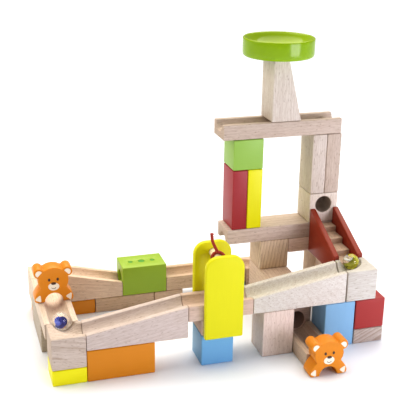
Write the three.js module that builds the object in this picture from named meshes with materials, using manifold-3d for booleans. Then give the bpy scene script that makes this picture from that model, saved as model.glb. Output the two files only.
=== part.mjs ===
// Wooden marble run: loose blocks, grooved tracks, a bell gate, stairs, a tower and a dish.
// Millimetres, +Z up, seen from the front along +Y. Places are given in block modules.
import * as THREE from 'three';
import { mergeVertices } from 'three/addons/utils/BufferGeometryUtils.js';
import Module from 'manifold-3d';

// Driving sizes, in millimetres.
const module = 32; // width and depth of a block
const gap = 0.3; // left between pieces that touch
const marbleDiameter = 16;
const marbleClearance = 2; // a bore or an arch is this much wider than a marble
const grooveRoom = 5; // a groove is this much wider than a marble
const grooveDepth = 8.8;
const panelThickness = 6; // gate and stair panels
const gatePanelWidth = 37.5;
const gatePanelHeight = 83;
const gatePanelRadius = 12.5;
const dowelDiameter = 8;
const dowelSeat = 3; // depth of the blind holes that hold the gate dowel
const dowelDrop = 10.5; // from the top of the gate panels to the dowel's axis
const panelSink = 2; // how far the gate panels reach below the gate's base block
const cordDiameter = 2.3;
const bellRadius = 7;
const bellHeight = 12;
const bellWall = 1;
const bearWidth = 37.8;
const bearHeight = 36;
const bearThickness = 16;
const dishRadius = 36;
const dishHeight = 18.5;
const dishRim = 2.5;
const dishFloor = 6;
const dishFoot = 2.5; // radius that rounds the wall into the base
const dotDepth = 1.5; // blind holes in the tunnel's roof

// Driving sizes, in modules.
const lowRampLength = 3;
const gateTrackLength = 2;
const highRampLength = 3;
const leftTrackLength = 3.25;
const leftSupportLength = 2.2;
const rowGap = 0.25; // between the tower and the back row
const backRampLength = 2;
const tunnelLength = 1.5;
const bridgeLength = 4;
const topTrackLength = 4;
const plankLength = 2;
const floorTrackLength = 2;
const topTread = 0.38; // length of the highest tread
const stepRise = 0.2;
const firstStep = 0.35; // height of the lowest tread
const stepCount = 4;
const stairNose = 0.6; // height of a stair panel at the front
const stairBack = 1.5; // height of a stair panel at the back
const columnTop = 0.5; // width of the tapered column's top

const marbleRadius = marbleDiameter / 2;
const boreRadius = (marbleDiameter + marbleClearance) / 2;
const grooveRadius = (marbleDiameter + grooveRoom) / 2;
const grooveAxis = grooveRadius - grooveDepth; // height of the groove's axis above a track

// Rows and columns of the layout, in modules.
const gateTrackX = 1 + lowRampLength;
const highRampX = gateTrackX + gateTrackLength;
const gateX = gateTrackX + 0.4;
const supportX = highRampX + 0.33;
const floorTrackX = supportX + 1.01;
const blueBlockX = floorTrackX + 1.01;
const redCubeX = blueBlockX + 1.02;
const rightCornerX = highRampX + highRampLength + 0.03;
const backRow = 1 + leftTrackLength;
const towerRow = backRow - 1 - rowGap;
const leftX = -0.05;
const backRampX = leftX + 1;
const tunnelX = backRampX + backRampLength;
const backTrackX = tunnelX + tunnelLength;
const towerX = floorTrackX - 0.04;
const stairsX = rightCornerX - 0.03;
const exitCubeX = stairsX - 0.03;
const bridgeX = towerX - 1.16;
const cubeX = bridgeX + 0.15;
const topTrackX = exitCubeX + 0.97 - topTrackLength;
const tubeCentreX = exitCubeX + 0.5;
const columnX = topTrackX + 1.58;
const stairsLength = towerRow - 1;
const stepRun = (stairsLength - topTread) / (stepCount - 1);
const endColumnX = towerX + plankLength;

const wasm = await Module();
wasm.setup();

const run = new THREE.Group();

const paint = (hex, roughness) => ({ color: hex, roughness, metalness: 0 });
const beech = paint('#dcc6a8', 0.6);
const yellow = paint('#f0e526', 0.4);
const orange = paint('#d88026', 0.45);
const red = paint('#b84038', 0.45);
const blue = paint('#78aedc', 0.45);
const green = paint('#a2c848', 0.4);
const bearOrange = paint('#e08a1c', 0.4);
const cordRed = paint('#8c2a1c', 0.8);
const brass = { color: '#d8b45a', roughness: 0.25, metalness: 1 };
const glass = (hex) => ({ color: hex, roughness: 0.05, metalness: 0, transparent: true, opacity: 0.5 });

function toSolid(geometry) {
  const bare = geometry.index ? geometry.clone() : geometry;
  bare.deleteAttribute('normal');
  bare.deleteAttribute('uv');
  const merged = mergeVertices(bare, 1e-4);
  const vertProperties = new Float32Array(merged.attributes.position.array);
  const triVerts = new Uint32Array(merged.index.array);
  return new wasm.Manifold(new wasm.Mesh({ numProp: 3, vertProperties, triVerts }));
}

function toGeometry(solid) {
  const mesh = solid.getMesh();
  const geometry = new THREE.BufferGeometry();
  geometry.setAttribute('position', new THREE.BufferAttribute(new Float32Array(mesh.vertProperties), 3));
  geometry.setIndex(new THREE.BufferAttribute(new Uint32Array(mesh.triVerts), 1));
  const flat = geometry.toNonIndexed();
  flat.computeVertexNormals();
  return flat;
}

// Adds a piece whose lower front left corner is at a place given in modules.
function add(name, solid, finish, x, y, z, turn = new THREE.Euler()) {
  const mesh = new THREE.Mesh(toGeometry(solid), new THREE.MeshStandardMaterial(finish));
  mesh.name = name;
  mesh.rotation.copy(turn);
  mesh.position.set(x * module, y * module, z * module);
  run.add(mesh);
  return mesh;
}

// A side view in X and Z, given the depth in Y that it fills.
function extrudeSide(shape, front, back) {
  const geometry = new THREE.ExtrudeGeometry(shape, { depth: back - front, bevelEnabled: false, curveSegments: 10 });
  geometry.rotateX(Math.PI / 2);
  geometry.translate(0, back, 0);
  return toSolid(geometry);
}

function polygon(points) {
  return new THREE.Shape(points.map(([x, z]) => new THREE.Vector2(x, z)));
}

// A straight bar of round section between two points, longer than the piece it cuts.
function rod(radius, start, end, extra = 0, segments = 24) {
  const from = new THREE.Vector3(...start);
  const to = new THREE.Vector3(...end);
  const direction = to.clone().sub(from).normalize();
  from.addScaledVector(direction, -extra);
  to.addScaledVector(direction, extra);
  const geometry = new THREE.CylinderGeometry(radius, radius, from.distanceTo(to), segments);
  const turn = new THREE.Quaternion().setFromUnitVectors(new THREE.Vector3(0, 1, 0), direction);
  geometry.applyQuaternion(turn);
  const middle = from.add(to).multiplyScalar(0.5);
  geometry.translate(middle.x, middle.y, middle.z);
  return toSolid(geometry);
}

// A plain block. Sizes are in modules, and the gap comes off its sides and top.
function block(width, depth, height) {
  const size = [width * module - gap, depth * module - gap, height * module - gap];
  const geometry = new THREE.BoxGeometry(...size);
  geometry.translate(gap / 2 + size[0] / 2, gap / 2 + size[1] / 2, size[2] / 2);
  return toSolid(geometry);
}

// A grooved track or ramp that runs along X, from its left height to its right height.
function track(length, leftHeight, rightHeight = leftHeight) {
  const right = length * module - gap / 2;
  const zLeft = leftHeight * module;
  const zRight = rightHeight * module;
  const side = polygon([[gap / 2, 0], [right, 0], [right, zRight - gap], [gap / 2, zLeft - gap]]);
  const body = extrudeSide(side, gap / 2, module - gap / 2);
  const axisLift = grooveAxis * Math.hypot(length * module, zRight - zLeft) / (length * module);
  const start = [0, module / 2, zLeft + axisLift];
  const end = [length * module, module / 2, zRight + axisLift];
  return body.subtract(rod(grooveRadius, start, end, module / 2));
}

// A cube with a quarter-round groove about one of its upright edges.
function corner(edgeX, edgeY) {
  const ring = new THREE.TorusGeometry(module / 2, grooveRadius, 24, 48);
  ring.translate(edgeX * module, edgeY * module, module + grooveAxis);
  return block(1, 1, 1).subtract(toSolid(ring));
}

// A block with a round bore along X, and three dots sunk in its roof.
function tunnel() {
  const centre = module * 0.45;
  const length = tunnelLength * module;
  const bore = rod(boreRadius, [0, module / 2, centre], [length, module / 2, centre], 5);
  const radii = [2.4, 3.5, 2.4];
  const roof = module - gap;
  return radii.reduce((solid, radius, i) => {
    const x = length * (i + 1) / 4;
    return solid.subtract(rod(radius, [x, module / 2, roof - dotDepth], [x, module / 2, roof + 2]));
  }, block(tunnelLength, 1, 1).subtract(bore));
}

// A cube with a bore that comes in at the top and turns out through the front.
function elbowCube() {
  const centre = [module / 2, module / 2, module * 0.6];
  const down = rod(boreRadius, centre, [centre[0], centre[1], module + 5]);
  const out = rod(boreRadius, centre, [centre[0], -5, centre[2]]);
  const bend = new THREE.SphereGeometry(boreRadius, 24, 16);
  bend.translate(...centre);
  return block(1, 1, 1).subtract(down).subtract(out).subtract(toSolid(bend));
}

// A half column with half of a marble's tube down one side. side is 0 for the left half.
function tubeHalf(side) {
  const x = (1 - side) * module / 2;
  return block(0.5, 1, 2).subtract(rod(boreRadius, [x, module / 2, 0], [x, module / 2, 2 * module], 5));
}

function taperedColumn() {
  const right = module - gap / 2;
  const top = 2 * module - gap;
  const side = polygon([[gap / 2, 0], [right, 0], [columnTop * module, top], [gap / 2, top]]);
  return extrudeSide(side, gap / 2, module - gap / 2);
}

function dish() {
  const outline = new THREE.Path();
  outline.moveTo(0, 0);
  outline.lineTo(dishRadius - dishFoot, 0);
  outline.quadraticCurveTo(dishRadius, 0, dishRadius, dishFoot);
  outline.lineTo(dishRadius, dishHeight);
  outline.lineTo(dishRadius - dishRim, dishHeight);
  outline.quadraticCurveTo(dishRadius * 0.72, dishFloor, 0, dishFloor);
  const geometry = new THREE.LatheGeometry(outline.getPoints(8), 40);
  geometry.rotateX(Math.PI / 2);
  return toSolid(geometry);
}

// A bear cut from a board, standing on two feet with an arch between its legs.
function bear() {
  const w = bearWidth;
  const h = bearHeight;
  const head = new THREE.Shape().absellipse(0, h * 0.61, w * 0.39, h * 0.38, 0, Math.PI * 2);
  const ears = [-1, 1].map((s) => new THREE.Shape().absarc(s * w * 0.36, h * 0.85, h * 0.14, 0, Math.PI * 2));
  const legs = new THREE.Shape();
  legs.moveTo(-w * 0.42, 0);
  legs.quadraticCurveTo(-w * 0.5, 0, -w * 0.5, h * 0.11);
  legs.quadraticCurveTo(-w * 0.47, h * 0.24, -w * 0.325, h * 0.4);
  legs.lineTo(w * 0.325, h * 0.4);
  legs.quadraticCurveTo(w * 0.47, h * 0.24, w * 0.5, h * 0.11);
  legs.quadraticCurveTo(w * 0.5, 0, w * 0.42, 0);
  const archHeight = marbleDiameter - grooveDepth + marbleClearance;
  const arch = new THREE.Shape().absellipse(0, 0, boreRadius, archHeight, 0, Math.PI * 2);
  const cut = extrudeSide(arch, -1, bearThickness + 1);
  return [head, ...ears, legs]
    .map((shape) => extrudeSide(shape, 0, bearThickness))
    .reduce((solid, next) => solid.add(next))
    .subtract(cut);
}

// A gate panel with its blind dowel hole on the face named by side: 1 at its back, -1 at its front.
function gatePanel(side) {
  const half = gatePanelWidth / 2;
  const r = gatePanelRadius;
  const face = new THREE.Shape();
  face.moveTo(-half, 0);
  face.lineTo(half, 0);
  face.lineTo(half, gatePanelHeight - r);
  face.absarc(half - r, gatePanelHeight - r, r, 0, Math.PI / 2);
  face.lineTo(r - half, gatePanelHeight);
  face.absarc(r - half, gatePanelHeight - r, r, Math.PI / 2, Math.PI);
  const z = gatePanelHeight - dowelDrop;
  const inner = side > 0 ? panelThickness : 0;
  const seat = rod(dowelDiameter / 2 + gap, [0, inner - dowelSeat, z], [0, inner + dowelSeat, z]);
  return extrudeSide(face, 0, panelThickness).subtract(seat);
}

function stairPanel() {
  const side = polygon([
    [gap / 2, 0],
    [stairsLength * module - gap / 2, 0],
    [stairsLength * module - gap / 2, stairBack * module - gap],
    [gap / 2, stairNose * module - gap],
  ]);
  return extrudeSide(side, 0, panelThickness);
}

// Treads that rise from the front, cut off at the stairs' back.
function stairSteps() {
  const back = stairsLength * module - gap / 2;
  const points = [[back, 0], [gap / 2, 0]];
  for (let i = 0; i < stepCount; i += 1) {
    const z = (firstStep + i * stepRise) * module;
    const end = i === stepCount - 1 ? back : (i + 1) * stepRun * module;
    points.push([i === 0 ? gap / 2 : i * stepRun * module, z], [end, z]);
  }
  return extrudeSide(polygon(points), panelThickness + gap, module - panelThickness - gap);
}

function bell() {
  const outline = new THREE.Path();
  outline.moveTo(0, bellHeight - bellWall);
  outline.quadraticCurveTo(bellRadius * 0.62, bellHeight - bellWall, bellRadius * 0.66, bellHeight * 0.5);
  outline.quadraticCurveTo(bellRadius * 0.7, bellHeight * 0.2, bellRadius - bellWall, 0);
  outline.lineTo(bellRadius, 0);
  outline.quadraticCurveTo(bellRadius * 0.7 + bellWall, bellHeight * 0.2, bellRadius * 0.66 + bellWall, bellHeight * 0.5);
  outline.quadraticCurveTo(bellRadius * 0.62 + bellWall, bellHeight, bellWall * 1.5, bellHeight);
  outline.lineTo(bellWall * 1.5, bellHeight + 2);
  outline.lineTo(0, bellHeight + 2);
  const shell = new THREE.LatheGeometry(outline.getPoints(6), 28);
  shell.rotateX(Math.PI / 2);
  const stem = rod(0.6, [0, 0, 2], [0, 0, bellHeight - bellWall / 2], 0, 10);
  const ball = new THREE.SphereGeometry(1.7, 14, 10);
  ball.translate(0, 0, 2);
  return toSolid(shell).add(stem).add(toSolid(ball));
}

function cordTube(points) {
  const radius = cordDiameter / 2;
  const section = new THREE.Shape().absarc(0, 0, radius, 0, Math.PI * 2);
  const path = new THREE.CatmullRomCurve3(points.map((p) => new THREE.Vector3(...p)));
  const geometry = new THREE.ExtrudeGeometry(section, {
    steps: 40, bevelEnabled: false, extrudePath: path, curveSegments: 5,
  });
  return toSolid(geometry);
}

function marble() {
  return toSolid(new THREE.SphereGeometry(marbleRadius, 24, 16));
}

// The height of a marble's centre in the groove of a track whose top is at a height in modules.
const rolling = (top) => top - (grooveDepth - marbleRadius - gap) / module;

const quarterTurn = new THREE.Euler(0, 0, Math.PI / 2);
const flipped = new THREE.Euler(Math.PI, 0, 0);

// Front row, from the low left corner up to the high right corner.
add('yellow_half_block', block(1, 1, 0.5), yellow, 0, 0, 0);
add('front_left_corner', corner(1, 1), beech, 0, 0, 0.5);
add('orange_block', block(lowRampLength - 1, 1, 1), orange, 1, 0, 0);
add('front_ramp_low', track(lowRampLength, 0.5, 1), beech, 1, 0, 1);
add('gate_blue_block', block(1, 1, 1), blue, gateX, 0, 0);
add('gate_base_block', block(1, 1, 0.5), beech, gateX, 0, 1);
add('gate_track', track(gateTrackLength, 0.5), beech, gateTrackX, 0, 1.5);
add('ramp_support_block', block(1, 1, 1.5), beech, supportX, 0, 0);
add('front_ramp_high', track(highRampLength, 0.5, 1), beech, highRampX, 0, 1.5);
add('right_blue_block', block(1, 1, 1.5), blue, blueBlockX, 0, 0);
add('right_half_block', block(1, 1, 0.5), beech, redCubeX, 0, 0);
add('right_red_cube', block(1, 1, 1), red, redCubeX, 0, 0.5);
add('front_right_corner', corner(0, 1), beech, rightCornerX, 0, 1.5);

// Bell gate: two panels hold a dowel over the gate track, and the bell hangs in the marble's way.
const gateCentreX = gateX + 0.63;
const panelZ = 1 - panelSink / module;
const dowelZ = panelZ + (gatePanelHeight - dowelDrop) / module;
add('gate_front_panel', gatePanel(1), yellow, gateCentreX, -(panelThickness + gap) / module, panelZ);
add('gate_back_panel', gatePanel(-1), yellow, gateCentreX, 1 + gap / module, panelZ);
const dowelEnd = module / 2 + gap / 2 + dowelSeat;
const dowel = rod(dowelDiameter / 2, [0, -dowelEnd, 0], [0, dowelEnd, 0]);
add('gate_dowel', dowel, beech, gateCentreX, 0.5, dowelZ);
const wrapRadius = dowelDiameter / 2 + gap + cordDiameter / 2;
const cordPoints = [
  [0, 0, -22],
  [1.4, 0, -12],
  [wrapRadius - 0.6, 0, -4.5],
  [wrapRadius + 0.5, 0, 0.8],
  [wrapRadius * 0.62, 0, wrapRadius * 0.9],
  [-0.6, 0, wrapRadius + 1.4],
  [-2.4, 0, wrapRadius + 4.2],
  [-4.6, 0, wrapRadius + 9],
  [-6.3, 0, wrapRadius + 13.5],
  [-6.8, 0, wrapRadius + 18.5],
];
add('bell_cord', cordTube(cordPoints), cordRed, gateCentreX, 0.5, dowelZ);
const wrap = new THREE.TorusGeometry(wrapRadius, cordDiameter / 2, 10, 28);
wrap.rotateX(Math.PI / 2);
wrap.translate(0, cordDiameter + 2 * gap, 0);
add('cord_loop', toSolid(wrap), cordRed, gateCentreX, 0.5, dowelZ);
const bellDrop = -cordPoints[0][2] + gap + bellHeight + 2;
add('bell', bell(), brass, gateCentreX, 0.5, dowelZ - bellDrop / module);

// Floor track, from the drop block out to the bear that waits at its end.
add('drop_block', block(1, 1, 1.5).subtract(rod(
  boreRadius,
  [module / 2, module, module * 0.975],
  [module / 2, 0, module * 0.54],
  module / 2,
)), beech, floorTrackX, 1, 0);
add('floor_track', track(floorTrackLength, 0.5), beech, floorTrackX + 1, 1 - floorTrackLength, 0, quarterTurn);
const finishBearY = 1 - floorTrackLength - (bearThickness + gap) / module;
add('finish_bear', bear(), bearOrange, floorTrackX + 0.5, finishBearY, 0);

// Left side, from the front left corner to the back.
add('left_support_block', block(1, leftSupportLength, 1), beech, leftX, backRow - leftSupportLength, 0);
add('left_track', track(leftTrackLength, 0.5), beech, leftX + 1, 1, 1, quarterTurn);
add('track_bear', bear(), bearOrange, leftX + 0.5, 2.4, 1.5);
add('back_left_corner', corner(1, 0), beech, leftX, backRow, 0.5);

// Back row, down to the tunnel and along behind the tower.
add('back_orange_half_block', block(2, 1, 0.5), orange, leftX + 0.06, backRow, 0);
add('back_ramp', track(backRampLength, 1, 0.5), beech, backRampX, backRow, 0.5);
add('back_half_block_long', block(2, 1, 0.5), beech, leftX + 2.07, backRow, 0);
add('back_half_block_short', block(1, 1, 0.5), beech, leftX + 4.08, backRow, 0);
add('green_tunnel', tunnel(), green, tunnelX, backRow, 0.5);
add('back_track', track(towerX - backTrackX, 0.5), beech, backTrackX, backRow, 0.5);
add('back_blue_half_block', block(1, 1, 0.5), blue, towerX - 1.02, backRow, 0);
add('back_right_corner', corner(0, 0), beech, towerX, backRow, 0);

// Tower. Its base carries the marble from the back row to the drop block.
const tunnelBlockLength = towerRow - 1;
const tunnelBore = rod(boreRadius, [module / 2, 0, module * 0.475],
  [module / 2, tunnelBlockLength * module, module * 0.475], 5);
add('base_half_block', block(1, tunnelBlockLength, 0.5), beech, towerX, 2, 0);
const baseTunnel = block(1, tunnelBlockLength, 1).subtract(tunnelBore);
add('base_tunnel_block', baseTunnel, beech, towerX, 2, 0.5);
add('tower_base_cube', block(1, 1, 1), beech, towerX, towerRow, 1.5);
add('end_column', block(1, 1, 2), beech, endColumnX, towerRow, 0);
add('plank', block(plankLength, 1, 0.5), beech, towerX + 1, towerRow, 2);
add('bridge_track', track(bridgeLength, 0.5), beech, bridgeX, towerRow + 1, 3 - gap / module, flipped);
add('red_half_column', block(0.5, 1, 2), red, cubeX, towerRow, 3);
add('yellow_half_column', block(0.5, 1, 2), yellow, cubeX + 0.5, towerRow, 3);
add('green_cube', block(1, 1, 1), green, cubeX, towerRow, 5);
add('exit_cube', elbowCube(), beech, exitCubeX, towerRow, 3);
add('tube_half_left', tubeHalf(0), beech, exitCubeX, towerRow, 4);
add('tube_half_right', tubeHalf(1), beech, exitCubeX + 0.5, towerRow, 4);
const dropHoleX = (tubeCentreX - topTrackX) * module;
const dropHole = rod(boreRadius, [dropHoleX, module / 2, 0], [dropHoleX, module / 2, module], 5);
add('top_track', track(topTrackLength, 0.5).subtract(dropHole), beech, topTrackX, towerRow, 6);
add('tapered_column', taperedColumn(), beech, columnX, towerRow, 6.5);
add('green_dish', dish(), green, columnX + 0.32, towerRow + 0.5, 8.5);

// Stairs from the exit cube down to the high right corner.
add('stairs_support_block', block(1, 1, 2), beech, stairsX, 1, 0);
add('stairs_left_panel', stairPanel(), red, stairsX + (panelThickness + gap / 2) / module, 1, 2, quarterTurn);
add('stairs_right_panel', stairPanel(), red, stairsX + 1 - gap / 2 / module, 1, 2, quarterTurn);
add('stair_steps', stairSteps(), beech, stairsX + 1, 1, 2, quarterTurn);

// Marbles: one at the front of the left track, one part way round the right corner.
const marbleTurn = THREE.MathUtils.degToRad(27);
add('blue_marble', marble(), glass('#5a68c8'), leftX + 0.5, 1.15, rolling(1.5));
add(
  'green_marble', marble(), glass('#c8cc50'),
  rightCornerX + Math.cos(marbleTurn) / 2, 1 - Math.sin(marbleTurn) / 2, rolling(2.5),
);

// The origin is the middle of the footprint, on the floor.
run.updateMatrixWorld(true);
const box = new THREE.Box3().setFromObject(run);
run.position.set(-(box.min.x + box.max.x) / 2, -(box.min.y + box.max.y) / 2, 0);
run.updateMatrixWorld(true);

export default run;
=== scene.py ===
import math

import bmesh
import bpy
from mathutils import Matrix, Vector


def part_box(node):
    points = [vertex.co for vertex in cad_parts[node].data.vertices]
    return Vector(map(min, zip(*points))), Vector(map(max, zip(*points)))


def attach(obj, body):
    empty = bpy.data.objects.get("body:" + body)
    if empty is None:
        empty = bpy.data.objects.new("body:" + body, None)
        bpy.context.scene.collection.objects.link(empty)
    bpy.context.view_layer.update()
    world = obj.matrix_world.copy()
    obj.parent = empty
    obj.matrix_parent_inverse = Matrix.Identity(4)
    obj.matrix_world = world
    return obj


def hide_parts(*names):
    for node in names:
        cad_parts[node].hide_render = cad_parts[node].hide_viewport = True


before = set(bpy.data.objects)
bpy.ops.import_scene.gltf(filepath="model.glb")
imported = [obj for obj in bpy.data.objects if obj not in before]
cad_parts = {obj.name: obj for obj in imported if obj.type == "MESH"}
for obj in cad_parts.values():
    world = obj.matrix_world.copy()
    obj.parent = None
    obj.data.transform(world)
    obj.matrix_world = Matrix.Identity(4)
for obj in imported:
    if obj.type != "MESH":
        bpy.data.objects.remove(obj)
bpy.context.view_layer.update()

# The camera stands in front of the run and a little to its left, above the tallest block,
# with a portrait lens that keeps the rows of blocks nearly parallel.
eye = Vector((-0.2434, -0.7696, 0.4350))
turned, lowered, rolled = -17.56, 20.26, 1.02  # degrees, from looking level along +Y
camera = bpy.data.objects.new("camera", bpy.data.cameras.new("camera"))
camera.data.lens = 76.98
camera.data.sensor_width = 36
camera.matrix_world = (
    Matrix.Translation(eye)
    @ Matrix.Rotation(math.radians(turned), 4, "Z")
    @ Matrix.Rotation(math.radians(90 - lowered), 4, "X")
    @ Matrix.Rotation(math.radians(rolled), 4, "Z")
)
bpy.context.scene.collection.objects.link(camera)
bpy.context.scene.camera = camera


# Bell cord: 2.3 mm twisted polyester, laid up from three dark red strands. It leaves the
# bell's eye, passes round the gate's dowel and ends in a short stiff tail with a frayed
# tip. One more turn of the same cord is tied round the dowel beside it.
def colour(code):
    """The linear colour that a shader takes, from an sRGB hex code."""
    parts = [int(code[i:i + 2], 16) / 255 for i in (0, 2, 4)]
    linear = [c / 12.92 if c <= 0.04045 else ((c + 0.055) / 1.055) ** 2.4 for c in parts]
    return (*linear, 1.0)


def add_node(tree, kind, inputs=None, **settings):
    """Adds a shader node with its settings, its values and what is linked to it."""
    made = tree.nodes.new("ShaderNode" + kind)
    for key, value in settings.items():
        setattr(made, key, value)
    for socket, value in (inputs or {}).items():
        if isinstance(value, bpy.types.NodeSocket):
            tree.links.new(value, made.inputs[socket])
        else:
            made.inputs[socket].default_value = value
    return made


def new_material(name, **settings):
    """A material with one shader, whose plain numbers are set on its own sockets."""
    material = bpy.data.materials.new(name)
    material.use_nodes = True
    tree = material.node_tree
    tree.nodes.clear()
    values = {key.replace("_", " "): value for key, value in settings.items()}
    shader = add_node(tree, "BsdfPrincipled", values)
    add_node(tree, "OutputMaterial", {"Surface": shader.outputs[0]})
    return material, tree, shader


def put(mesh, name, body, slot, material, *nodes, smooth=30):
    """Makes a piece of a mesh, on its body and in place of its CAD nodes."""
    mesh.name = name
    mesh.shade_smooth()
    mesh.set_sharp_from_angle(angle=math.radians(smooth))
    mesh.materials.clear()
    mesh.materials.append(material)
    piece = bpy.data.objects.new(name, mesh)
    bpy.context.scene.collection.objects.link(piece)
    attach(piece, body)
    if nodes:
        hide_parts(*nodes)
    return piece


def to_mesh(bm):
    """The mesh of a finished bmesh, which is then let go."""
    mesh = bpy.data.meshes.new("made")
    bm.to_mesh(mesh)
    bm.free()
    return mesh


weld = 1e-6  # vertices nearer than this become one


def laid_up(path, turns, closed=False):
    """Three strands twisted round a path as one mesh. Each is a round curve of its own."""
    outside = cord_radius + cord_fuzz
    strand_radius = outside * strand_share
    strand_offset = outside - strand_radius
    curve = bpy.data.curves.new("strands", "CURVE")
    curve.dimensions = "3D"
    curve.bevel_depth = strand_radius
    curve.bevel_resolution = 3
    curve.use_fill_caps = not closed
    side = Vector((0, 1, 0))
    frames = []
    for i, point in enumerate(path):
        ahead = path[(i + 1) % len(path)] if closed or i + 1 < len(path) else point
        behind = path[i - 1] if closed or i else point
        forward = (ahead - behind).normalized()
        side = (side - forward * side.dot(forward)).normalized()
        frames.append((point, side, forward.cross(side)))
    for strand in range(3):
        spline = curve.splines.new("POLY")
        spline.points.add(len(path) - 1)
        spline.use_cyclic_u = closed
        last = len(path) if closed else len(path) - 1
        for i, (point, first, second) in enumerate(frames):
            angle = math.tau * (strand / 3 + turns * i / last)
            place = point + (first * math.cos(angle) + second * math.sin(angle)) * strand_offset
            spline.points[i].co = (*place, 1)
    helper = bpy.data.objects.new("strands", curve)
    bpy.context.scene.collection.objects.link(helper)
    bpy.context.view_layer.update()
    mesh = bpy.data.meshes.new_from_object(helper.evaluated_get(bpy.context.evaluated_depsgraph_get()))
    bpy.data.objects.remove(helper)
    bm = bmesh.new()
    bm.from_mesh(mesh)
    bmesh.ops.remove_doubles(bm, verts=bm.verts, dist=weld)
    bmesh.ops.recalc_face_normals(bm, faces=bm.faces)
    bm.to_mesh(mesh)
    bm.free()
    return mesh


cord_radius = 0.00115
cord_fuzz = 0.0004  # how far the loose fibres stand out from the yarn
cord_lay = 0.0065  # length of one full twist
strand_share = 0.54  # a strand's radius as a share of the cord's, so that the three press together
loop_turns = 5  # full twists in the turn round the dowel
steps_per_knot = 10  # points on the curve from one knot to the next
dowel_low, dowel_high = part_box("gate_dowel")
dowel_radius = (dowel_high.x - dowel_low.x) / 2
dowel_middle = (dowel_low + dowel_high) / 2
cord_route = [
    (0, -22), (1.4, -12), (4.85, -4.5), (5.95, 0.8), (3.379, 4.905),
    (-0.6, 6.85), (-2.4, 9.65), (-4.6, 14.45), (-6.3, 18.95), (-6.8, 23.95),
]  # millimetres from the dowel's middle, in X and Z
knots = [dowel_middle + Vector((x, 0, z)) / 1000 for x, z in cord_route]
knots = [2 * knots[0] - knots[1], *knots, 2 * knots[-1] - knots[-2]]
cord_path = []  # a smooth curve through every knot
for a, b, c, d in zip(knots, knots[1:], knots[2:], knots[3:]):
    for i in range(steps_per_knot):
        t = i / steps_per_knot
        cord_path.append(
            b + (c - a) * t / 2
            + (2 * a - 5 * b + 4 * c - d) * t * t / 2
            + (3 * b - a - 3 * c + d) * t ** 3 / 2
        )
cord_path.append(knots[-2])
cord_length = sum((b - a).length for a, b in zip(cord_path, cord_path[1:]))

# Twisted polyester: matt dark red yarn with a soft sheen and fibres that show at 0.25 mm.
cord_yarn, tree, shader = new_material(
    "twisted_polyester_yarn", Roughness=0.85, Sheen_Weight=0.35, Sheen_Roughness=0.4
)
position = add_node(tree, "TexCoord").outputs["Object"]
fibre = add_node(tree, "TexNoise", {"Vector": position, "Scale": 4000.0, "Detail": 2.0})
shade = add_node(tree, "Mix", {0: fibre.outputs[0], 6: colour("86200E"), 7: colour("BE4024")},
                 data_type="RGBA")
tree.links.new(shade.outputs[2], shader.inputs["Base Color"])
raised = add_node(tree, "Bump", {"Height": fibre.outputs[0], "Strength": 0.5, "Distance": 0.0002})
tree.links.new(raised.outputs[0], shader.inputs["Normal"])

loop_low, loop_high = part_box("cord_loop")
loop_middle = (loop_low + loop_high) / 2
loop_radius = (loop_high.x - loop_low.x) / 2 - cord_radius
loop_path = [
    loop_middle + Vector((math.cos(a), 0, math.sin(a))) * loop_radius
    for a in (math.tau * i / 60 for i in range(60))
]
cord_loop = put(laid_up(loop_path, loop_turns, closed=True), "cord_loop_laid",
                "bell_pendulum", "cord", cord_yarn, "cord_loop")
tuft_count, tuft_length, tuft_start = 9, 0.0036, -0.0012  # loose yarns at the tail's tip
tail_way = (cord_path[-1] - cord_path[-2]).to_track_quat("Z", "X").to_matrix()
bm = bmesh.new()
for i in range(tuft_count):
    yarn = bmesh.ops.create_cone(bm, cap_ends=True, segments=6, radius1=0.0005, radius2=0.0007,
                                 depth=tuft_length)["verts"]
    bmesh.ops.translate(bm, verts=yarn, vec=(0, 0, tuft_start + tuft_length / 2))
    round_tip = Matrix.Rotation(math.tau * i / tuft_count, 3, "Z")
    splayed = Matrix.Rotation(0.3 + 0.2 * (i % 3), 3, "X")
    bmesh.ops.rotate(bm, verts=yarn, cent=(0, 0, 0), matrix=tail_way @ round_tip @ splayed)
    bmesh.ops.translate(bm, verts=yarn, vec=cord_path[-1])
frayed_tail = put(to_mesh(bm), "cord_tail_frayed", "bell_pendulum", "cord", cord_yarn)
bell_cord = put(laid_up(cord_path, cord_length / cord_lay), "bell_cord_laid",
                "bell_pendulum", "cord", cord_yarn, "bell_cord")


# Floor and light: a plain white table top under a wide warm overhead light, a key box near
# the right front and a weaker box on the left, so that tops are brightest and faces deep
# between the rows fall off.
floor_mesh = bpy.data.meshes.new("floor")
bm = bmesh.new()
bmesh.ops.create_grid(bm, x_segments=1, y_segments=1, size=6)
bm.to_mesh(floor_mesh)
bm.free()
floor = bpy.data.objects.new("floor", floor_mesh)
bpy.context.scene.collection.objects.link(floor)
# Matt laminate: an even bluish white that takes only soft shadows.
table_top, tree, shader = new_material("white_table_top", Roughness=0.7)
shader.inputs["Base Color"].default_value = colour("E9F0FB")
floor_mesh.materials.append(table_top)


def soft_box(name, place, aim, width, height, power, tint):
    """A rectangular area light that faces a point."""
    light = bpy.data.lights.new(name, "AREA")
    light.shape = "RECTANGLE"
    light.size, light.size_y = width, height
    light.energy = power
    light.color = colour(tint)[:3]
    lamp = bpy.data.objects.new(name, light)
    lamp.location = place
    lamp.rotation_euler = (Vector(aim) - Vector(place)).to_track_quat("-Z", "Y").to_euler()
    bpy.context.scene.collection.objects.link(lamp)


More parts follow.
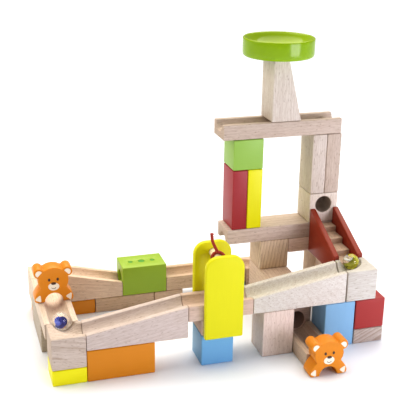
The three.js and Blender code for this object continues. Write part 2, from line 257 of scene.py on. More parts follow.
soft_box("key_soft_box", (0.62, -0.82, 0.22), (0.05, 0, 0.1), 0.6, 0.36, 6.0, "F8F2FF")
soft_box("side_soft_box", (-0.85, 0.1, 0.7), (0, 0, 0.12), 0.6, 0.6, 4.9, "FFF0DA")
overhead = bpy.data.lights.new("overhead_light", "SUN")
overhead.energy = 3.9
overhead.angle = math.radians(70)
overhead.color = colour("FFF7EB")[:3]
lamp = bpy.data.objects.new("overhead_light", overhead)
lamp.rotation_euler = (math.radians(-24), math.radians(8), 0)
bpy.context.scene.collection.objects.link(lamp)
world = bpy.data.worlds.new("studio")
world.use_nodes = True
bpy.context.scene.world = world
tree = world.node_tree
tree.nodes.clear()
seen = add_node(tree, "LightPath").outputs["Is Camera Ray"]
strength = add_node(tree, "Mix", {0: seen, 2: 0.3, 3: 1.0}, data_type="FLOAT")
air = add_node(tree, "Background", {"Color": (1, 1, 1, 1), "Strength": strength.outputs[0]})
add_node(tree, "OutputWorld", {"Surface": air.outputs[0]})
bpy.context.scene.view_settings.view_transform = "Standard"
bpy.context.scene.view_settings.gamma = 0.9  # the crisp contrast of a catalogue print


# Plain beech blocks: solid pieces sawn on a 32 mm module from steamed beech, sanded, with
# edges eased by tumbling to about 1 mm. Each lies with its grain along its longest side,
# but the cubes and uprights are stood or turned as they came to hand.
def sanded_beech(name, middle, along, code, figure, seed):
    """Steamed beech: 1 mm straight fibres, ring lines 2 to 4 mm apart and short dark flecks.

    The wood is cut from a log whose pith lies outside the piece. along is the way the
    grain runs, and the log's own axes turn with it, so end grain shows arcs. figure is
    how strongly the grain shows.
    """
    pale = colour(code)
    dark = (pale[0] * 0.66, pale[1] * 0.58, pale[2] * 0.52, 1.0)
    material, tree, shader = new_material(name, Roughness=0.6, Specular_IOR_Level=0.25)
    texture = add_node(tree, "TexCoord")
    to_grain = Vector(along).rotation_difference(Vector((1, 0, 0)))
    angle = 2.4 * seed
    pith = Vector((0.013 * seed, 0.045 * math.cos(angle), 0.045 * math.sin(angle)))
    log = add_node(tree, "Mapping", {
        "Vector": texture.outputs["Object"],
        "Rotation": to_grain.to_euler(),
        "Location": pith - to_grain @ middle,
    }).outputs[0]
    drawn = add_node(tree, "VectorMath", {0: log, 1: (0.12, 1, 1)}, operation="MULTIPLY").outputs[0]
    ring_gap = (0.0021 + 0.0005 * (seed % 4)) / max(1.0, figure)
    wave_gap = 0.314  # metres between a wave texture's rings at a scale of 1
    rings = add_node(tree, "TexWave", {
        "Vector": drawn, "Scale": wave_gap / ring_gap, "Distortion": 3.0, "Detail": 2.0,
        "Detail Scale": 0.4,
    }, wave_type="RINGS", rings_direction="X", wave_profile="SAW").outputs["Fac"]
    lines = add_node(tree, "Math", {0: rings, 1: 2.5}, operation="POWER").outputs[0]
    fibres = add_node(tree, "TexNoise", {
        "Vector": drawn, "Scale": 1000.0, "Detail": 3.0, "Roughness": 0.6,
    }).outputs[0]
    broad = add_node(tree, "TexNoise", {"Vector": drawn, "Scale": 140.0, "Detail": 1.0}).outputs[0]
    lines_part = add_node(tree, "Math", {0: lines, 1: 0.6 * figure}, operation="MULTIPLY").outputs[0]
    fibres_part = add_node(tree, "MapRange", {0: fibres, 1: 0.35, 2: 0.68, 3: 0.0, 4: 0.44}).outputs[0]
    broad_part = add_node(tree, "MapRange", {0: broad, 1: 0.35, 2: 0.7, 3: 0.0, 4: 0.12}).outputs[0]
    mixed = add_node(tree, "Math", {0: lines_part, 1: fibres_part}, operation="ADD").outputs[0]
    mixed = add_node(tree, "Math", {0: mixed, 1: broad_part}, operation="ADD").outputs[0]
    wood = add_node(tree, "Mix", {0: mixed, 6: pale, 7: dark}, data_type="RGBA").outputs[2]
    rays = add_node(tree, "VectorMath", {0: log, 1: (0.22, 1, 1)}, operation="MULTIPLY").outputs[0]
    dashes = add_node(tree, "TexNoise", {"Vector": rays, "Scale": 1300.0, "Detail": 0.0}).outputs[0]
    fleck = add_node(tree, "MapRange", {0: dashes, 1: 0.68, 2: 0.84, 3: 0.0, 4: 0.55}).outputs[0]
    deep = (pale[0] * 0.38, pale[1] * 0.28, pale[2] * 0.21, 1.0)
    wood = add_node(tree, "Mix", {0: fleck, 6: wood, 7: deep}, data_type="RGBA").outputs[2]
    facing = add_node(tree, "VectorMath", {0: texture.outputs["Normal"], 1: along},
                      operation="DOT_PRODUCT").outputs["Value"]
    facing = add_node(tree, "Math", {0: facing}, operation="ABSOLUTE").outputs[0]
    end = add_node(tree, "MapRange", {0: facing, 1: 0.8, 2: 1.0, 3: 0.0, 4: 0.3}).outputs[0]
    end_grain = (pale[0] * 0.62, pale[1] * 0.52, pale[2] * 0.42, 1.0)
    wood = add_node(tree, "Mix", {0: end, 6: wood, 7: end_grain}, data_type="RGBA").outputs[2]
    # Faces deep in a bore are mixed towards dark brown: painted shade inside the bore.
    painted_bore_shade = add_node(tree, "Attribute", attribute_name="painted_bore_shade").outputs["Fac"]
    painted_bore_shade = add_node(tree, "Math", {0: painted_bore_shade, 1: 0.65}, operation="MULTIPLY").outputs[0]
    bore_shade_colour = (pale[0] * 0.28, pale[1] * 0.22, pale[2] * 0.18, 1.0)
    wood = add_node(tree, "Mix", {0: painted_bore_shade, 6: wood, 7: bore_shade_colour}, data_type="RGBA").outputs[2]
    tree.links.new(wood, shader.inputs["Base Color"])
    raised = add_node(tree, "Bump", {"Height": fibres, "Strength": 0.25, "Distance": 0.0002})
    tree.links.new(raised.outputs[0], shader.inputs["Normal"])
    return material


def softened(node, edge=0.001, segments=3, angle=40, **spared):
    """A merged copy of a CAD node's mesh with its sharp edges rounded, as a bmesh."""
    bm = bmesh.new()
    bm.from_mesh(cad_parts[node].data)
    bmesh.ops.remove_doubles(bm, verts=bm.verts, dist=2 * weld)
    bmesh.ops.dissolve_limit(bm, angle_limit=math.radians(0.5), verts=bm.verts, edges=bm.edges)
    round_edges(bm, edge, segments, angle, **spared)
    return bm


def round_edges(bm, edge, segments=3, angle=40, hole=None, hole_radius=0.0):
    """Rounds every edge of a closed bmesh that turns by more than an angle.

    The edges of a hole that runs along Y about the point called hole are left crisp.
    """
    sharp = [e for e in bm.edges if e.is_manifold and e.calc_face_angle() > math.radians(angle)]
    if hole:
        sharp = [e for e in sharp if (e.verts[0].co.xz - hole.xz).length > hole_radius]
    bmesh.ops.bevel(bm, geom=sharp, offset=edge, offset_type="OFFSET", segments=segments,
                    profile=0.5, affect="EDGES", material=-1)


def mark_bore_shade(bm, node):
    """Marks the faces deep inside a drilled block, which the beech material darkens as painted shade
    in the bore.
    """
    deep = 0.0012  # past the rounding of the block's edges
    low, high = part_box(node)
    painted_bore_shade = bm.faces.layers.float.new("painted_bore_shade")
    for face in bm.faces:
        centre = face.calc_center_median()
        face[painted_bore_shade] = float(min(*(centre - low), *(high - centre)) > deep)


def beech_piece(bm, node, along, code, figure):
    """Puts a beech piece in place of its CAD node, cut from its own stretch of the log."""
    low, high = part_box(node)
    seed = sorted(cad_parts).index(node) + 1
    wood = sanded_beech("sanded_beech_" + node, (low + high) / 2, Vector(along).normalized(),
                        code, figure, seed)
    put(to_mesh(bm), node + "_sanded", "root", "beech", wood, node)


beech_blocks = {  # the way the grain runs, the pale colour and how much grain shows
    "gate_base_block": ((1, 0, 0), "DCC8BA", 0.5),
    "ramp_support_block": ((0, 0, 1), "EFDFD5", 0.3),
    "right_half_block": ((1, 0, 0.5), "C5BAB2", 1.8),
    "left_support_block": ((0, 1, 0.25), "C3BAAC", 0.5),
    "back_half_block_long": ((1, 0, 0), "D5BCA3", 0.4),
    "back_half_block_short": ((1, 0, 0), "D8BEA6", 0.4),
    "base_half_block": ((0, 1, 0), "DCC4A8", 0.4),
    "tower_base_cube": ((0.15, 0, 1), "F2DEC5", 1.1),
    "end_column": ((0, 0, 1), "DCC8B0", 0.4),
    "plank": ((1, 0, 0), "F6DFD3", 0.8),
    "tapered_column": ((0, 0, 1), "D9D1C7", 0.35),
    "stairs_support_block": ((0, 0, 1), "DCC6AC", 0.4),
    "stair_steps": ((0, 1, 0), "DCC4AC", 0.5),
    "drop_block": ((1, 0, 0), "CDB8AC", 0.6),
    "base_tunnel_block": ((0, 1, 0), "F1DDCB", 0.5),
    "exit_cube": ((0, 0, 1), "EAE0D4", 0.3),
    "tube_half_left": ((0, 0, 1), "D9CFC5", 0.3),
    "tube_half_right": ((0, 0, 1), "CEBFB2", 0.4),
    "top_track": ((1, 0, 0), "CDBEB1", 0.4),
}
for node, wood in beech_blocks.items():
    bm = softened(node, 0.0009)
    # The bores of these blocks get painted shade.
    if node in ("exit_cube", "drop_block", "base_tunnel_block"):
        mark_bore_shade(bm, node)
    beech_piece(bm, node, *wood)


# Grooved tracks and ramps: bars of beech with a round-bottomed groove just under 21 mm
# wide and 8.5 mm deep, run with a core-box cutter, and the ramps then sawn to their wedge.
groove_radius = 0.0105
groove_lift = 0.002  # from a piece's top face up to the groove's axis
groove_half = math.sqrt(groove_radius ** 2 - groove_lift ** 2)
half_arc = math.asin(groove_half / groove_radius)
groove_steps = 20
track_edge = 0.0008  # the rounding of a track's edges


def groove_section(bm, width, height, centre):
    """The end face of a grooved bar in Y and Z, from its lower left corner."""
    points = [(0, 0), (width, 0), (width, height)]
    for i in range(groove_steps + 1):
        a = half_arc * (1 - 2 * i / groove_steps)
        points.append((centre + groove_radius * math.sin(a),
                       height + groove_lift - groove_radius * math.cos(a)))
    points.append((0, height))
    return bm.faces.new([bm.verts.new((0, y, z)) for y, z in points])


def grooved_bar(node, left_height, right_height, along_y=False, upside_down=False):
    """A track as long as its CAD node, with the height of its top at each end."""
    low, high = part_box(node)
    size = high - low
    length, width = (size.y, size.x) if along_y else (size.x, size.y)
    bm = bmesh.new()
    face = groove_section(bm, width, left_height, width / 2)
    grown = bmesh.ops.extrude_face_region(bm, geom=[face])["geom"]
    far = [v for v in grown if isinstance(v, bmesh.types.BMVert)]
    bmesh.ops.translate(bm, verts=far, vec=(length, 0, 0))
    tops = [v for v in far if v.co.z > track_edge]
    bmesh.ops.translate(bm, verts=tops, vec=(0, 0, right_height - left_height))
    if upside_down:
        bmesh.ops.rotate(bm, verts=bm.verts, cent=(0, width / 2, left_height / 2),
                         matrix=Matrix.Rotation(math.pi, 3, "X"))
    if along_y:
        bmesh.ops.rotate(bm, verts=bm.verts, cent=(0, 0, 0),
                         matrix=Matrix.Rotation(math.pi / 2, 3, "Z"))
        bmesh.ops.translate(bm, verts=bm.verts, vec=(width, 0, 0))
    bmesh.ops.translate(bm, verts=bm.verts, vec=low)
    bmesh.ops.recalc_face_normals(bm, faces=bm.faces)
    round_edges(bm, track_edge, angle=35)
    return bm


half, whole, top_gap = 0.016, 0.032, 0.0003  # heights of a track's ends, less the gap above
tracks = {  # heights at both ends, along Y, upside down, and the wood as for the blocks
    "front_ramp_low": (half, whole, False, False, (1, 0, 0.2), "D5C9C3", 0.4),
    "gate_track": (half, half, False, False, (1, 0, 0), "D8C2B4", 0.4),
    "front_ramp_high": (half, whole, False, False, (1, 0.4, -0.05), "E0DDD6", 0.25),
    "left_track": (half, half, True, False, (0, 1, 0), "E4D6C6", 0.4),
    "back_ramp": (whole, half, False, False, (1, 0, -0.15), "EED7C2", 0.4),
    "back_track": (half, half, False, False, (1, 0, 0), "DDC3A9", 0.4),
    "bridge_track": (half, half, False, True, (1, 0, 0), "DCCCC1", 0.6),
    "floor_track": (half, half, True, False, (0, 1, 0), "D0BCA8", 0.5),
}
for node, (left, right, along_y, flipped, *wood) in tracks.items():
    bar = grooved_bar(node, left - top_gap, right - top_gap, along_y, flipped)
    beech_piece(bar, node, *wood)


# Corner cubes: the same groove swept through a quarter turn about one upright edge, as a
# router on a pivot cuts it, in a cube of beech.
def grooved_corner(node, edge_x, edge_y):
    """A corner cube whose groove turns about the upright edge at (edge_x, edge_y)."""
    low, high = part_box(node)
    size = high - low
    bm = bmesh.new()
    face = groove_section(bm, size.x, size.z, half - top_gap / 2)
    bmesh.ops.spin(bm, geom=[face], cent=(0, 0, 0), axis=(0, 0, 1), angle=math.pi / 2, steps=24,
                   use_merge=False, use_duplicate=False, use_normal_flip=False, dvec=(0, 0, 0),
                   space=Matrix.Identity(4))
    for v in bm.verts:
        flat = v.co.xy
        if flat.length > size.x - 1e-5:
            to_square = size.x / max(abs(flat.x), abs(flat.y))
            v.co.xy = flat * to_square
    bmesh.ops.remove_doubles(bm, verts=bm.verts, dist=weld)
    bmesh.ops.rotate(bm, verts=bm.verts, cent=(0, 0, 0),
                     matrix=Matrix.Rotation(-math.pi / 2, 3, "Z"))
    turns = {(0, 0): 0, (1, 0): 1, (1, 1): 2, (0, 1): 3}[(edge_x, edge_y)]
    bmesh.ops.rotate(bm, verts=bm.verts, cent=(0, 0, 0),
                     matrix=Matrix.Rotation(turns * math.pi / 2, 3, "Z"))
    pivot = Vector((high.x if edge_x else low.x, high.y if edge_y else low.y, low.z))
    bmesh.ops.translate(bm, verts=bm.verts, vec=pivot)
    bmesh.ops.recalc_face_normals(bm, faces=bm.faces)
    bmesh.ops.dissolve_limit(bm, angle_limit=math.radians(0.3), verts=bm.verts, edges=bm.edges)
    round_edges(bm, track_edge, angle=35)
    return bm


corners = {  # which edge the groove turns about, in X and Y, and the wood
    "front_left_corner": (1, 1, (1, 0, -0.2), "D0C3B8", 0.9),
    "front_right_corner": (0, 1, (1, 0, 0), "D7D5CE", 0.25),
    "back_left_corner": (1, 0, (0, 1, 0), "E4D6C4", 0.4),
    "back_right_corner": (0, 0, (1, 0, 0), "D8C0AA", 0.4),
}
for node, (edge_x, edge_y, *wood) in corners.items():
    beech_piece(grooved_corner(node, edge_x, edge_y), node, *wood)


# Painted blocks: the same beech sprayed with two coats of satin water-based paint, which
# leaves the softened edges and a trace of the grain to be felt through it.
def satin_paint(name, code, along=(1, 0, 0), roughness=0.38):
    """Satin paint over wood: even colour, faint grain and a fine sprayed texture of 0.8 mm."""
    material, tree, shader = new_material(name, Roughness=roughness, Specular_IOR_Level=0.3)
    texture = add_node(tree, "TexCoord")
    to_grain = Vector(along).rotation_difference(Vector((1, 0, 0)))
    log = add_node(tree, "Mapping", {
        "Vector": texture.outputs["Object"], "Rotation": to_grain.to_euler(),
    }).outputs[0]
    drawn = add_node(tree, "VectorMath", {0: log, 1: (0.08, 1, 1)}, operation="MULTIPLY").outputs[0]
    grain = add_node(tree, "TexNoise", {"Vector": drawn, "Scale": 900.0, "Detail": 3.0}).outputs[0]
    spray = add_node(tree, "TexNoise", {"Vector": log, "Scale": 1250.0, "Detail": 1.0}).outputs[0]
    shade = add_node(tree, "MapRange", {0: grain, 1: 0.3, 2: 0.7, 3: 0.0, 4: 1.0}).outputs[0]
    base = colour(code)
    deeper = (base[0] * 0.98, base[1] * 0.98, base[2] * 0.98, 1.0)
    paint = add_node(tree, "Mix", {0: shade, 6: deeper, 7: base}, data_type="RGBA").outputs[2]
    tree.links.new(paint, shader.inputs["Base Color"])
    both = add_node(tree, "Math", {0: grain, 1: spray}, operation="ADD").outputs[0]
    raised = add_node(tree, "Bump", {"Height": both, "Strength": 0.06, "Distance": 0.0003})
    tree.links.new(raised.outputs[0], shader.inputs["Normal"])
    return material


yellow_paint = satin_paint("satin_yellow_paint", "EEE800")
upright_yellow = satin_paint("satin_yellow_paint_upright", "E8E500", (0, 0, 1))
orange_paint = satin_paint("satin_orange_paint", "D58814")
blue_paint = satin_paint("satin_blue_paint", "72ADD8")
upright_blue = satin_paint("satin_blue_paint_upright", "85B4D8", (0, 0, 1))
red_paint = satin_paint("satin_red_paint", "A73634")
upright_red = satin_paint("satin_red_paint_upright", "A53338", (0, 0, 1))
stair_red = satin_paint("satin_red_paint_stairs", "923119", (0, 1, 0))
leaf_green = satin_paint("satin_green_paint", "98C056")
painted_blocks = {
    "yellow_half_block": ("yellow_paint", yellow_paint),
    "orange_block": ("orange_paint", orange_paint),
    "gate_blue_block": ("blue_paint", blue_paint),
    "right_blue_block": ("blue_paint", upright_blue),
    "right_red_cube": ("red_paint", red_paint),
    "back_orange_half_block": ("orange_paint", orange_paint),
    "back_blue_half_block": ("blue_paint", blue_paint),
    "red_half_column": ("red_paint", upright_red),
    "yellow_half_column": ("yellow_paint", upright_yellow),
    "green_cube": ("green_paint", leaf_green),
    "stairs_left_panel": ("red_paint", stair_red),
    "stairs_right_panel": ("red_paint", stair_red),
}
for node, (slot, paint) in painted_blocks.items():
    put(to_mesh(softened(node)), node + "_painted", "root", slot, paint, node)


# Green tunnel: a beech block with an 18 mm bore, painted leaf green, with three shallow
# blind holes in its roof picked out in a darker green.
tunnel_green = satin_paint("satin_apple_green_paint", "9ABA36")
put(to_mesh(softened("green_tunnel", 0.0007)), "green_tunnel_painted", "tunnel", "green_paint",
    tunnel_green, "green_tunnel")
dot_green = satin_paint("satin_dark_green_paint", "4F9A22")
tunnel_length = 0.048
dot_radii = (0.0022, 0.0033, 0.0022)
dot_thickness = 0.0004
dot_depth = 0.0005  # from the roof down to the middle of the paint in the hole
low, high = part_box("green_tunnel")
for i, radius in enumerate(dot_radii):
    bm = bmesh.new()
    bmesh.ops.create_cone(bm, cap_ends=True, segments=32, radius1=radius, radius2=radius,
                          depth=dot_thickness)
    x = low.x - top_gap / 2 + tunnel_length * (i + 1) / 4
    bmesh.ops.translate(bm, verts=bm.verts, vec=(x, (low.y + high.y) / 2, high.z - dot_depth))
    put(to_mesh(bm), f"tunnel_dot_{i + 1}", "tunnel", "green_paint", dot_green)


# Bell gate: two 6 mm panels with rounded tops, cut from board and sprayed bright yellow,
# that hold an unpainted 8 mm dowel between them in blind holes.
panel_yellow = satin_paint("satin_bright_yellow_paint", "DCD900", (0, 0, 1), 0.42)
for node in ("gate_front_panel", "gate_back_panel"):
    panel = softened(node, 0.0014, 4, 50, hole=dowel_middle, hole_radius=dowel_radius + 0.001)
    put(to_mesh(panel), node + "_painted", "root", "yellow_paint", panel_yellow, node)
bm = bmesh.new()
bmesh.ops.create_cone(bm, cap_ends=True, segments=48, radius1=dowel_radius, radius2=dowel_radius,
                      depth=dowel_high.y - dowel_low.y)
bmesh.ops.rotate(bm, verts=bm.verts, cent=(0, 0, 0), matrix=Matrix.Rotation(math.pi / 2, 3, "X"))
bmesh.ops.translate(bm, verts=bm.verts, vec=dowel_middle)
round_edges(bm, 0.0006)
beech_piece(bm, "gate_dowel", (0, 1, 0), "F8EBCB", 0.2)


# Bell: a small open bell spun from thin brass and polished, with an eye on its crown and a
# ball clapper inside, hung on the cord so that a passing marble strikes it.
bell_low, bell_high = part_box("bell")
bell_middle = (bell_low + bell_high) / 2
stem_radius, stem_length, stem_middle = 0.0006, 0.0100, 0.0070
clapper_radius, clapper_middle = 0.0017, 0.002
outline = [  # radius and height over the mouth, down the inside and back up the outside
    (0.0005, 0.0110), (0.0028, 0.0108), (0.0043, 0.0092), (0.0047, 0.0065), (0.0049, 0.0042),
    (0.0054, 0.0018), (0.0062, 0.0002), (0.0068, 0.0000), (0.0070, 0.0006), (0.0064, 0.0022),
    (0.0059, 0.0044), (0.0057, 0.0068), (0.0053, 0.0098), (0.0036, 0.0117), (0.0014, 0.0121),
    (0.0010, 0.0134), (0.0005, 0.0140),
]
bm = bmesh.new()
rim = [bm.verts.new((x, 0, z)) for x, z in outline]
edges = [bm.edges.new(pair) for pair in zip(rim, rim[1:])]
edges.append(bm.edges.new((rim[-1], rim[0])))
bmesh.ops.spin(bm, geom=rim + edges, cent=(0, 0, 0), axis=(0, 0, 1), angle=math.tau, steps=64,
               use_merge=True, use_duplicate=False, use_normal_flip=False, dvec=(0, 0, 0),
               space=Matrix.Identity(4))
bmesh.ops.remove_doubles(bm, verts=bm.verts, dist=weld)
stem = bmesh.ops.create_cone(bm, cap_ends=True, segments=16, radius1=stem_radius,
                             radius2=stem_radius, depth=stem_length)["verts"]
bmesh.ops.translate(bm, verts=stem, vec=(0, 0, stem_middle))
ball = bmesh.ops.create_uvsphere(bm, u_segments=24, v_segments=16, radius=clapper_radius)["verts"]
bmesh.ops.translate(bm, verts=ball, vec=(0, 0, clapper_middle))
bmesh.ops.translate(bm, verts=bm.verts, vec=(bell_middle.x, bell_middle.y, bell_low.z))
bmesh.ops.recalc_face_normals(bm, faces=bm.faces)
# Polished brass: warm gold metal with faint spinning marks round it.
brass, tree, shader = new_material("polished_brass", Metallic=1.0)
shader.inputs["Base Color"].default_value = colour("D9B45C")
position = add_node(tree, "TexCoord").outputs["Object"]
rounds = add_node(tree, "VectorMath", {0: position, 1: (0.1, 0.1, 1)},
                  operation="MULTIPLY").outputs[0]
marks = add_node(tree, "TexNoise", {"Vector": rounds, "Scale": 3000.0, "Detail": 2.0}).outputs[0]
polish = add_node(tree, "MapRange", {0: marks, 1: 0.3, 2: 0.7, 3: 0.16, 4: 0.3}).outputs[0]
tree.links.new(polish, shader.inputs["Roughness"])
put(to_mesh(bm), "bell_spun", "bell_pendulum", "bell_metal", brass, "bell", smooth=50)


# Bears: 16 mm boards cut to a teddy's outline with an arch between the feet for the
# marble, sprayed orange, with face, ears and paws printed on the front in thick ink.
def ink(name, code):
    """Pad-printing ink: an even satin film that stands a little proud."""
    material, tree, shader = new_material(name, Roughness=0.45, IOR=1.5)
    position = add_node(tree, "TexCoord").outputs["Object"]
    film = add_node(tree, "TexNoise", {"Vector": position, "Scale": 1800.0,
                                       "Detail": 1.0}).outputs[0]
    base = colour(code)
    deeper = (base[0] * 0.93, base[1] * 0.93, base[2] * 0.93, 1.0)
    shade = add_node(tree, "Mix", {0: film, 6: deeper, 7: base}, data_type="RGBA").outputs[2]
    tree.links.new(shade, shader.inputs["Base Color"])
    raised = add_node(tree, "Bump", {"Height": film, "Strength": 0.1, "Distance": 0.0002})
    tree.links.new(raised.outputs[0], shader.inputs["Normal"])
    return material


# Each print's place across and above the feet, then its width and height. The ones that
# lie off the middle are on both sides.
muzzle = (0, 0.0160, 0.0109, 0.0084)
ear_lining = (0.0137, 0.0304, 0.0066, 0.0066)
paw_pad = (0.0148, 0.0042, 0.0104, 0.0086)
eye_dot = (0.0041, 0.0234, 0.0024, 0.0032)
nose = (0, 0.0193, 0.0050, 0.0026)
film_depth = 0.0004  # three quarters of it stands out of the board
ear_cut_x, ear_cut_z = 0.0129, 0.0297  # a point on the line where an ear meets the head


def oval(bm, x, z, width, height, depth=film_depth, tilt=0.0, sides=40):
    """A raised disc in the plane of the bear's face, and its vertices."""
    made = bmesh.ops.create_cone(bm, cap_ends=True, segments=sides, radius1=0.5, radius2=0.47,
                                 depth=1.0)["verts"]
    bmesh.ops.scale(bm, verts=made, vec=(width, height, depth))
    bmesh.ops.rotate(bm, verts=made, cent=(0, 0, 0), matrix=Matrix.Rotation(tilt, 3, "Z"))
    bmesh.ops.rotate(bm, verts=made, cent=(0, 0, 0), matrix=Matrix.Rotation(math.pi / 2, 3, "X"))
    bmesh.ops.translate(bm, verts=made, vec=(x, 0, z))
    return made


def bear_print_pale(bm):
    """Muzzle, two half-moon ears and two paw pads."""
    oval(bm, *muzzle)
    for side in (-1, 1):
        made = oval(bm, side * ear_lining[0], *ear_lining[1:])
        geom = made + [e for e in bm.edges if e.verts[0] in made] + [
            f for f in bm.faces if f.verts[0] in made]
        cut = bmesh.ops.bisect_plane(
            bm, geom=geom, plane_co=(side * ear_cut_x, 0, ear_cut_z),
            plane_no=(-side * 0.72, 0, -0.69), clear_outer=True)["geom_cut"]
        bmesh.ops.contextual_create(bm, geom=[e for e in cut if isinstance(e, bmesh.types.BMEdge)])
        pad = oval(bm, side * paw_pad[0], *paw_pad[1:], tilt=math.pi / 2 - side * 0.1, sides=3)
        upright = [e for e in bm.edges if e.verts[0] in pad and e.verts[1] in pad
                   and abs(e.verts[0].co.y - e.verts[1].co.y) > film_depth / 2]
        bmesh.ops.bevel(bm, geom=upright, offset=0.0018, segments=5, profile=0.5,
                        affect="EDGES", material=-1)


def bear_print_dark(bm):
    """Two eyes, a nose and a thin smile."""
    for side in (-1, 1):
        oval(bm, side * eye_dot[0], *eye_dot[1:])
    oval(bm, *nose, depth=0.0007)
    smile_radius, smile_start, smile_sweep = 0.0023, math.radians(25), math.radians(130)
    line = bmesh.ops.create_circle(bm, cap_ends=True, segments=10, radius=0.00025)["verts"]
    bmesh.ops.translate(bm, verts=line, vec=(smile_radius, 0, 0))
    bmesh.ops.rotate(bm, verts=line, cent=(0, 0, 0), matrix=Matrix.Rotation(smile_start, 3, "Y"))
    before = set(bm.verts) - set(line)
    faces = [f for f in bm.faces if f.verts[0] in line]
    bmesh.ops.spin(bm, geom=faces, cent=(0, 0, 0), axis=(0, 1, 0), angle=smile_sweep,
                   steps=16, use_merge=False, use_duplicate=False, use_normal_flip=False,
                   dvec=(0, 0, 0), space=Matrix.Identity(4))
    smile = [v for v in bm.verts if v not in before]
    bmesh.ops.translate(bm, verts=smile, vec=(0, -film_depth / 2, muzzle[1] + 0.0002))


bear_paint = satin_paint("satin_bear_orange_paint", "DC8A18", (0, 0, 1))
cream_ink = ink("cream_printing_ink", "F8EEDA")
brown_ink = ink("dark_brown_printing_ink", "4A2E1C")
bear_prints = (("cream", bear_print_pale, cream_ink), ("brown", bear_print_dark, brown_ink))
for node in ("track_bear", "finish_bear"):
    low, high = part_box(node)
    bm = softened(node, 0.0008, 3, 45)
    put(to_mesh(bm), node + "_painted", node, "bear_orange", bear_paint, node)
    centre = Vector(((low.x + high.x) / 2, low.y - film_depth / 4, low.z))
    for part, draw, pressed_ink in bear_prints:
        bm = bmesh.new()
        draw(bm)
        bmesh.ops.recalc_face_normals(bm, faces=bm.faces)
        bmesh.ops.translate(bm, verts=bm.verts, vec=centre)
        put(to_mesh(bm), f"{node}_print_{part}", node, "bear_orange", pressed_ink)


# Dish: a shallow bowl turned from beech and finished in thick glossy lime lacquer, which
# swirls a marble round before it drops over the rim.
dish_low, dish_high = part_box("green_dish")
outline = [  # radius and height, from under the middle round the rim to the bowl's bottom
    (0.0, 0.0), (0.0325, 0.0), (0.0342, 0.0003), (0.0354, 0.0012), (0.0359, 0.0028),
    (0.0360, 0.0060), (0.0360, 0.0170), (0.0358, 0.0180), (0.0351, 0.0185),
    (0.0343, 0.0183), (0.0337, 0.0178), (0.0320, 0.0158), (0.0295, 0.0130),
    (0.0260, 0.0103), (0.0215, 0.0080), (0.0150, 0.0066), (0.0080, 0.0061), (0.0, 0.0060),
]
bm = bmesh.new()
rim = [bm.verts.new((x, 0, z)) for x, z in outline]
edges = [bm.edges.new(pair) for pair in zip(rim, rim[1:])]
bmesh.ops.spin(bm, geom=rim + edges, cent=(0, 0, 0), axis=(0, 0, 1), angle=math.tau, steps=96,
               use_merge=True, use_duplicate=False, use_normal_flip=False, dvec=(0, 0, 0),
               space=Matrix.Identity(4))
bmesh.ops.remove_doubles(bm, verts=bm.verts, dist=weld)
bmesh.ops.recalc_face_normals(bm, faces=bm.faces)
dish_middle = (dish_low + dish_high) / 2
bmesh.ops.translate(bm, verts=bm.verts, vec=(dish_middle.x, dish_middle.y, dish_low.z))
# Gloss lacquer: deep even colour under a hard clear coat with a slow ripple, and painted light that
# makes the upward faces paler.
lacquer, tree, shader = new_material("gloss_lime_lacquer", Roughness=0.16, Specular_IOR_Level=0.32)
texture = add_node(tree, "TexCoord")
ripple = add_node(tree, "TexNoise", {"Vector": texture.outputs["Object"], "Scale": 160.0,
                                     "Detail": 1.0}).outputs[0]
shade = add_node(tree, "Mix", {0: ripple, 6: colour("84A800"), 7: colour("8AAE00")},
                 data_type="RGBA").outputs[2]
upward = add_node(tree, "VectorMath", {0: texture.outputs["Normal"], 1: (0, 0, 1)},
                  operation="DOT_PRODUCT").outputs["Value"]
# Upward faces are mixed towards a paler yellow green: painted light from above.
painted_top_light = add_node(tree, "MapRange", {0: upward, 1: 0.2, 2: 0.9, 3: 0.0, 4: 1.0}).outputs[0]
shade = add_node(tree, "Mix", {0: painted_top_light, 6: shade, 7: colour("A0BC10")}, data_type="RGBA").outputs[2]
tree.links.new(shade, shader.inputs["Base Color"])
raised = add_node(tree, "Bump", {"Height": ripple, "Strength": 0.08, "Distance": 0.0008})
tree.links.new(raised.outputs[0], shader.inputs["Normal"])
put(to_mesh(bm), "green_dish_turned", "dish", "dish_green", lacquer, "green_dish", smooth=50)


# Marbles: 16 mm balls of clear pressed glass, each with a swirl of three or four twisted
# vanes of cloudy coloured glass caught inside it.
vane_twist = 0.3  # turns that a vane makes from the marble's middle to either end
vane_curl = 0.7  # radians that a vane bends from its root to its edge
vane_thickness = 0.0006


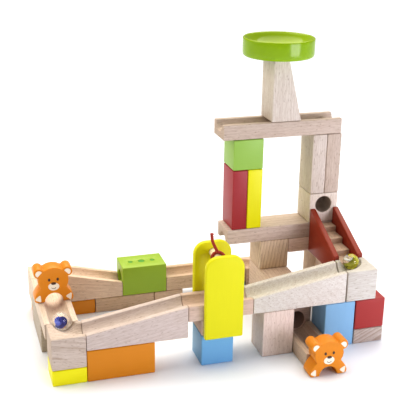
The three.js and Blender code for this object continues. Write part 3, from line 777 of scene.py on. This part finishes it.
def marble(node, slot, vane_colours, lean, reach_share, sunk):
    """A clear ball and its vanes, which lean about X, reach a share of the way out and are
    sunk by a share of the radius below the ball's middle."""
    low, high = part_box(node)
    middle, radius = (low + high) / 2, (high.x - low.x) / 2
    bm = bmesh.new()
    bmesh.ops.create_uvsphere(bm, u_segments=64, v_segments=32, radius=radius)
    bmesh.ops.translate(bm, verts=bm.verts, vec=middle)
    # Clear pressed glass: fire-polished, so that it bends and mirrors the room sharply.
    clear, tree, shader = new_material(node + "_clear_glass", Roughness=0.02, IOR=1.5,
                                       Transmission_Weight=1.0)
    shader.inputs["Base Color"].default_value = colour("FAFCFF")
    put(to_mesh(bm), node + "_glass", node, slot, clear, node)
    for i, code in enumerate(vane_colours):
        bm = bmesh.new()
        bmesh.ops.create_grid(bm, x_segments=8, y_segments=28, size=1)
        for v in bm.verts:
            along, out = v.co.y, (v.co.x + 1) / 2
            reach = reach_share * radius * math.sqrt(max(0.0, 1 - along * along)) * out
            angle = math.tau * (i / len(vane_colours) + along * vane_twist) + out * vane_curl
            height = along * radius * reach_share
            v.co = Vector((reach * math.cos(angle), reach * math.sin(angle), height))
        bmesh.ops.remove_doubles(bm, verts=bm.verts, dist=weld)
        bmesh.ops.solidify(bm, geom=bm.faces[:], thickness=vane_thickness)
        bmesh.ops.recalc_face_normals(bm, faces=bm.faces)
        bmesh.ops.rotate(bm, verts=bm.verts, cent=(0, 0, 0), matrix=Matrix.Rotation(lean, 3, "X"))
        bmesh.ops.translate(bm, verts=bm.verts, vec=middle - Vector((0, 0, sunk * radius)))
        # Opal glass: soft colour that clouds paler every 2 mm.
        swirl, tree, shader = new_material(f"{node}_vane_glass_{i + 1}", Roughness=0.3)
        position = add_node(tree, "TexCoord").outputs["Object"]
        cloud = add_node(tree, "TexNoise", {"Vector": position, "Scale": 500.0}).outputs[0]
        base = colour(code)
        paler = tuple(min(1.0, c * 1.3 + 0.04) for c in base[:3]) + (1.0,)
        shade = add_node(tree, "Mix", {0: cloud, 6: base, 7: paler}, data_type="RGBA").outputs[2]
        tree.links.new(shade, shader.inputs["Base Color"])
        put(to_mesh(bm), f"{node}_vane_{i + 1}", node, slot, swirl)


marble("blue_marble", "blue_glass", ("14248C", "3A52C8", "1C30A4"), 1.1, 0.5, 0.16)
marble("green_marble", "green_glass", ("E6D200", "FFFFFA", "B4B408", "F0E430"), 0.5, 0.84, 0.0)
